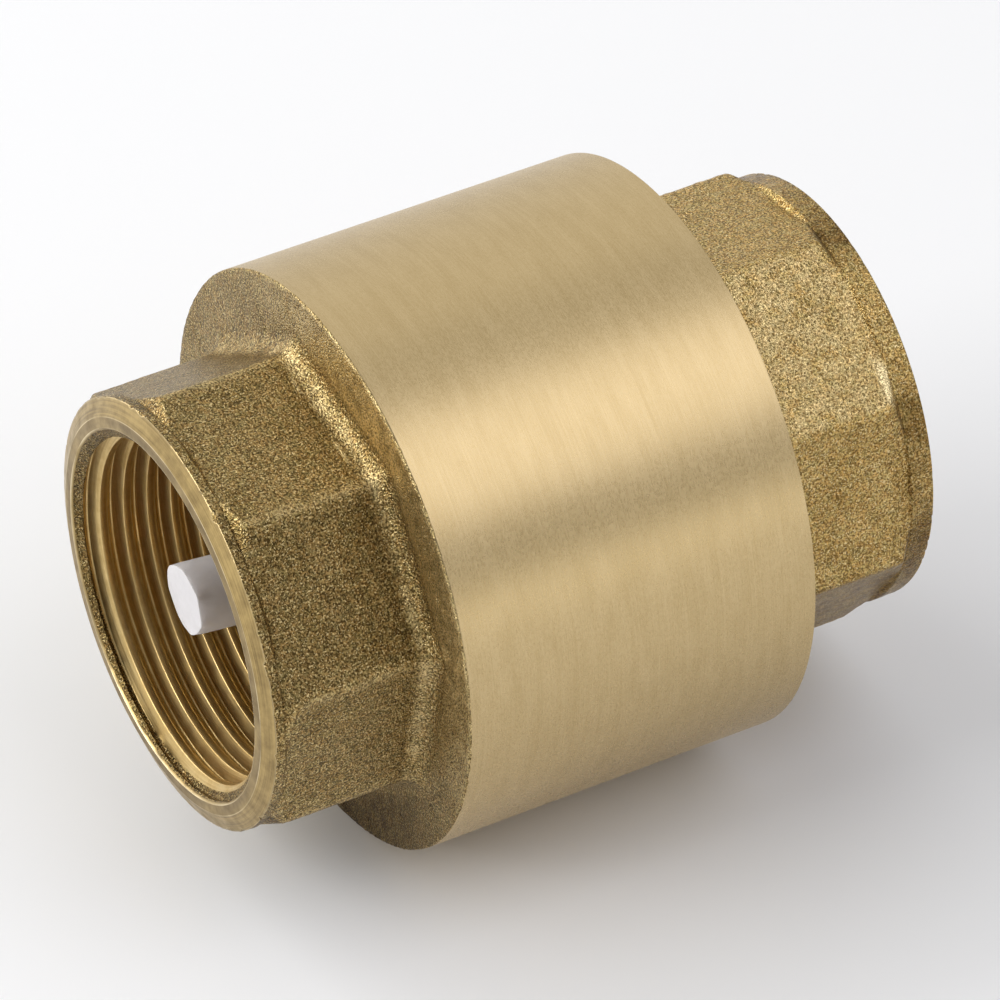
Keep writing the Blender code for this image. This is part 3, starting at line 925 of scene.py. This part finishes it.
def mix_colour(tree, factor, first, second, mode="MIX"):
    made = tree.nodes.new("ShaderNodeMix")
    made.data_type = "RGBA"
    made.blend_type = mode
    for index, value in ((0, factor), (6, first), (7, second)):
        if isinstance(value, bpy.types.NodeSocket):
            tree.links.new(value, made.inputs[index])
        else:
            made.inputs[index].default_value = value
    return made.outputs[2]


def calculate(tree, operation, first, second):
    made = tree.nodes.new("ShaderNodeMath")
    made.operation = operation
    for index, value in enumerate((first, second)):
        if isinstance(value, bpy.types.NodeSocket):
            tree.links.new(value, made.inputs[index])
        else:
            made.inputs[index].default_value = value
    return made.outputs[0]


def bump(tree, shader, height, distance, strength=1.0):
    made = add(tree, "ShaderNodeBump", Height=height, Distance=distance, Strength=strength)
    tree.links.new(made.outputs["Normal"], shader.inputs["Normal"])


def rgb(red, green, blue):
    return (red, green, blue, 1.0)


def cast_brass(name, pit, grain, stain, worn_and_lit, grime_and_shade, rough):
    """Sand-cast skin: sparkling grains over darker pits, soft stains, and rubbed bright edges.

    The sparkle is painted glints on random specks. The wear value also brings painted highlights
    where it is high and painted shade where it is low.
    """
    material, tree, shader = new_material(name, Metallic=1.0)
    grains = noise_value(tree, 1 / GRAIN_SIZE, detail=1.5, roughness=0.7)
    specks = noise_value(tree, 1 / SPECK_SIZE, detail=0.0)
    patches = noise_value(tree, 1 / STAIN_SIZE, detail=3.0, roughness=0.6)
    colour = mix_colour(tree, map_range(tree, grains, 0.40, 0.63, 0.0, 1.0), pit, grain)
    hue = noise_value(tree, 1 / HUE_SIZE, detail=2.0)
    tint = mix_colour(tree, map_range(tree, hue, 0.35, 0.65, 0.0, 1.0), WARM_TINT, PALE_TINT)
    colour = mix_colour(tree, 1.0, colour, tint, "MULTIPLY")
    stained = map_range(tree, patches, 0.35, 0.7, 0.0, 0.55)
    colour = mix_colour(tree, stained, colour, stain, "MULTIPLY")
    wear_and_shading = add(tree, "ShaderNodeAttribute", {"attribute_name": "wear_and_shading"}).outputs["Fac"]
    blotches = noise_value(tree, 1 / BLOTCH_SIZE, detail=2.0)
    # Rubbed wear and painted highlights where the wear value is positive.
    brightened = calculate(tree, "MULTIPLY", wear_and_shading, map_range(tree, grains, 0.35, 0.58, 0.1, 1.0))
    patchy = map_range(tree, blotches, 0.35, 0.6, 0.15, 1.0)
    brightened = calculate(tree, "MULTIPLY", brightened, patchy)
    # Painted shade where the wear value is negative, in blotches.
    shade_mask = map_range(tree, wear_and_shading, -1.0, 0.0, 1.0, 0.0)
    shade_mask = calculate(tree, "MULTIPLY", shade_mask, map_range(tree, blotches, 0.3, 0.65, 1.0, 0.5))
    colour = mix_colour(tree, shade_mask, colour, grime_and_shade, "MULTIPLY")
    # Painted glints on random specks, fewer in the painted shade.
    speck_glint = map_range(tree, specks, 0.62, 0.72, 0.0, 0.7)
    speck_glint = calculate(tree, "MULTIPLY", speck_glint, map_range(tree, shade_mask, 0.0, 0.6, 1.0, 0.45))
    bright = calculate(tree, "MAXIMUM", brightened, speck_glint)
    tree.links.new(mix_colour(tree, bright, colour, worn_and_lit), shader.inputs["Base Color"])
    roughness = map_range(tree, bright, 0.0, 1.0, rough, rough * 0.65)
    tree.links.new(roughness, shader.inputs["Roughness"])
    bump(tree, shader, calculate(tree, "ADD", grains, specks), CAST_BUMP)
    return material


def turned_brass(name, light, dark):
    """Lathe-turned barrel: fine lines round the valve, faint scuffs and a satin sheen along it."""
    material, tree, shader = new_material(
        name, Metallic=1.0, Anisotropic=0.75, Anisotropic_Rotation=0.0
    )
    lines = noise_value(tree, (1 / TURNED_LINE, 1 / TURNED_RUN, 1 / TURNED_RUN), detail=2.0)
    grain = noise_value(tree, (1 / (0.12 * MM), 1 / (0.3 * MM), 1 / (0.3 * MM)), detail=1.0)
    scuffs = noise_value(tree, (1 / (0.9 * MM), 1 / (3.5 * MM), 1 / (3.5 * MM)), detail=4.0)
    brightened = calculate(tree, "ADD", calculate(tree, "ADD", lines, grain), scuffs)
    shade = map_range(tree, brightened, 1.15, 1.85, 0.0, 1.0)
    tree.links.new(mix_colour(tree, shade, dark, light), shader.inputs["Base Color"])
    tree.links.new(map_range(tree, grain, 0.3, 0.7, 0.26, 0.30), shader.inputs["Roughness"])
    around = add(tree, "ShaderNodeTangent", {"direction_type": "RADIAL", "axis": "X"})
    tree.links.new(around.outputs["Tangent"], shader.inputs["Tangent"])
    bump(tree, shader, calculate(tree, "ADD", lines, grain), TURNED_BUMP)
    return material


def machined_brass(name, light, dark, worn_and_lit, rough):
    """Machined rims, bores, threads: painted brown shade; rubbed edges with painted highlights."""
    material, tree, shader = new_material(name, Metallic=1.0)
    lines = noise_value(tree, (1 / MACHINED_LINE, 1 / MACHINED_RUN, 1 / MACHINED_RUN), detail=2.0)
    grime_and_shade = noise_value(tree, 1 / (1.3 * MM), detail=4.0, roughness=0.65)
    shade = map_range(tree, calculate(tree, "ADD", lines, grime_and_shade), 0.75, 1.25, 0.0, 1.0)
    wear_and_shading = add(tree, "ShaderNodeAttribute", {"attribute_name": "wear_and_shading"}).outputs["Fac"]
    # Painted shade where the wear value is negative.
    shade_mask = map_range(tree, wear_and_shading, -1.0, 0.0, 1.0, 0.0)
    colour = mix_colour(tree, wear_and_shading, mix_colour(tree, shade, dark, light), worn_and_lit)
    colour = mix_colour(tree, shade_mask, colour, SHADE_BROWN)
    tree.links.new(colour, shader.inputs["Base Color"])
    roughness = map_range(tree, grime_and_shade, 0.3, 0.7, rough * 1.25, rough * 0.8)
    tree.links.new(roughness, shader.inputs["Roughness"])
    bump(tree, shader, lines, MACHINED_BUMP)
    return material


def moulded_acetal():
    material, tree, shader = new_material(
        "moulded_acetal",
        Subsurface_Weight=0.5,
        Subsurface_Radius=(1.0, 1.0, 1.0),
        Subsurface_Scale=1.0 * MM,
    )
    cloud = noise_value(tree, 1 / (0.9 * MM), detail=3.0)
    colour = mix_colour(tree, cloud, rgb(0.58, 0.56, 0.56), rgb(0.68, 0.66, 0.67))
    tree.links.new(colour, shader.inputs["Base Color"])
    tree.links.new(map_range(tree, cloud, 0.3, 0.7, 0.45, 0.3), shader.inputs["Roughness"])
    bump(tree, shader, cloud, 0.02 * MM)
    return material


def moulded_rubber():
    material, tree, shader = new_material("moulded_rubber")
    dust = noise_value(tree, 1 / (0.5 * MM), detail=4.0)
    colour = mix_colour(tree, dust, rgb(0.012, 0.012, 0.013), rgb(0.045, 0.045, 0.045))
    tree.links.new(colour, shader.inputs["Base Color"])
    tree.links.new(map_range(tree, dust, 0.3, 0.7, 0.5, 0.75), shader.inputs["Roughness"])
    bump(tree, shader, dust, 0.01 * MM)
    return material


def drawn_wire():
    material, tree, shader = new_material("drawn_stainless", Metallic=1.0)
    draw = noise_value(tree, 1 / (0.2 * MM), detail=3.0)
    colour = mix_colour(tree, draw, rgb(0.5, 0.49, 0.47), rgb(0.68, 0.67, 0.65))
    tree.links.new(colour, shader.inputs["Base Color"])
    tree.links.new(map_range(tree, draw, 0.3, 0.7, 0.2, 0.34), shader.inputs["Roughness"])
    bump(tree, shader, draw, 0.004 * MM)
    return material


# ---- the pieces -------------------------------------------------------------------------------
turned_finish = turned_brass("turned_brass", rgb(0.60, 0.455, 0.24), rgb(0.52, 0.385, 0.19))
thread_finish = machined_brass(
    "thread_brass", rgb(0.74, 0.55, 0.25), rgb(0.54, 0.37, 0.14), rgb(0.85, 0.72, 0.46), 0.36
)
rim_finish = machined_brass(
    "rim_brass", rgb(0.50, 0.36, 0.15), rgb(0.27, 0.19, 0.08), rgb(0.88, 0.75, 0.50), 0.36
)
body_cast = cast_brass(
    "body_cast_brass",
    pit=rgb(0.105, 0.074, 0.031),
    grain=rgb(0.47, 0.355, 0.165),
    stain=rgb(0.62, 0.57, 0.38),
    worn_and_lit=rgb(0.92, 0.72, 0.36),
    grime_and_shade=rgb(0.30, 0.25, 0.20),
    rough=0.42,
)
# The cap's cast brass is lighter than the body's partly as painted light, for the brighter light
# towards the rear.
cap_cast = cast_brass(
    "cap_cast_brass",
    pit=rgb(0.24, 0.165, 0.06),
    grain=rgb(0.80, 0.60, 0.265),
    stain=rgb(0.74, 0.66, 0.46),
    worn_and_lit=rgb(1.0, 0.80, 0.43),
    grime_and_shade=rgb(0.30, 0.25, 0.19),
    rough=0.33,
)
acetal = moulded_acetal()
rubber = moulded_rubber()

place(
    "valve_body_casting",
    valve_body([body_cast, turned_finish, thread_finish, rim_finish]),
    "housing",
    "brass_body",
    "valve_body",
)
place(
    "end_cap_casting",
    end_cap([cap_cast, turned_finish, thread_finish, rim_finish]),
    "housing",
    "brass_cap",
    "end_cap",
)
place("cap_o_ring_rubber", o_ring([rubber]), "housing", "nbr", "cap_o_ring")
place("poppet_moulding", poppet([acetal]), "poppet_assembly", "acetal", "poppet")
place("poppet_seal_ring", poppet_seal([rubber]), "poppet_assembly", "nbr", "poppet_seal")
place("seal_retainer_cap", seal_retainer([acetal]), "poppet_assembly", "acetal", "seal_retainer")
spring_piece = place(
    "closing_spring_wire",
    spring([drawn_wire()]),
    "housing",
    "spring_steel",
    "closing_spring",
)

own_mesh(spring_piece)


# ---- floor, light and camera ------------------------------------------------------------------
def aim(obj, location, target):
    obj.location = location
    obj.rotation_mode = "QUATERNION"
    obj.rotation_quaternion = (Vector(target) - Vector(location)).to_track_quat("-Z", "Y")


def direction(azimuth, elevation):
    """Unit vector from the valve, azimuth 0 towards -Y and growing towards +X."""
    return Vector((sin(azimuth) * cos(elevation), -cos(azimuth) * cos(elevation), sin(elevation)))


def square_to_axis(degrees):
    """Unit vector square to the valve's axis, at the given angle from straight up towards -Y."""
    return Vector((0.0, -sin(radians(degrees)), cos(radians(degrees))))


def softbox(name, way, distance, width, height, radiance, target=(0, 0, 0), colour=(1, 1, 1)):
    """A rectangular soft light that lies the given way and whose face has the given radiance."""
    data = bpy.data.lights.new(name, "AREA")
    data.shape = "RECTANGLE"
    data.size = width
    data.size_y = height
    data.energy = radiance * pi * width * height
    data.color = colour
    light = bpy.data.objects.new(name, data)
    bpy.context.scene.collection.objects.link(light)
    aim(light, Vector(target) + way.normalized() * distance, target)


def build_floor():
    reach = 2.0
    level = cad_box[0].z
    mesh = bpy.data.meshes.new("floor")
    outline = ((-1, -1), (1, -1), (1, 1), (-1, 1))
    corners = [(x * reach, y * reach, level) for x, y in outline]
    mesh.from_pydata(corners, [], [(0, 1, 2, 3)])
    pale = rgb(0.9, 0.9, 0.9)
    material, tree, shader = new_material("pale_floor", Roughness=0.9, Base_Color=pale)
    shader.inputs["Specular IOR Level"].default_value = 0.0
    mesh.materials.append(material)
    floor = bpy.data.objects.new("floor", mesh)
    bpy.context.scene.collection.objects.link(floor)


def build_light():
    world = bpy.data.worlds.new("studio")
    bpy.context.scene.world = world
    world.use_nodes = True
    background = world.node_tree.nodes["Background"]
    background.inputs["Color"].default_value = rgb(1.0, 1.0, 1.0)
    background.inputs["Strength"].default_value = 0.35
    beside = (0.34, 0, 0)
    before = (-0.45, 0, 0)
    softbox("key", square_to_axis(30), 0.8, 0.7, 0.66, 1.4, beside, (1.0, 1.01, 1.1))
    softbox("top", square_to_axis(-8), 0.8, 0.7, 0.4, 0.3, beside)
    softbox("front", square_to_axis(84), 0.8, 0.7, 0.16, 1.5, beside)
    softbox("back", square_to_axis(-57), 0.8, 0.7, 1.1, 0.6, beside)
    softbox("left_back", square_to_axis(-60), 0.8, 0.6, 0.9, 2.6, before)
    softbox("left_high", Vector((-1.0, 0.2, 0.6)), 0.9, 0.6, 0.4, 6.0)


CAMERA_AIM = (0.08 * MM, -0.12 * MM, -0.15 * MM)
CAMERA_DISTANCE = 547.32 * MM
CAMERA_AZIMUTH = radians(-29.4321)
CAMERA_ELEVATION = radians(38.9637)
CAMERA_LENS = 288.0
CAMERA_SENSOR = 36.0


def build_camera():
    outward = direction(CAMERA_AZIMUTH, CAMERA_ELEVATION)
    data = bpy.data.cameras.new("camera")
    data.lens = CAMERA_LENS
    data.sensor_width = CAMERA_SENSOR
    data.clip_start = 0.01
    data.clip_end = 20.0
    camera = bpy.data.objects.new("camera", data)
    bpy.context.scene.collection.objects.link(camera)
    camera.location = Vector(CAMERA_AIM) + outward * CAMERA_DISTANCE
    camera.rotation_mode = "QUATERNION"
    camera.rotation_quaternion = (-outward).to_track_quat("-Z", "Y")
    bpy.context.scene.camera = camera


build_floor()
build_light()
build_camera()
bpy.context.scene.view_settings.view_transform = "Standard"
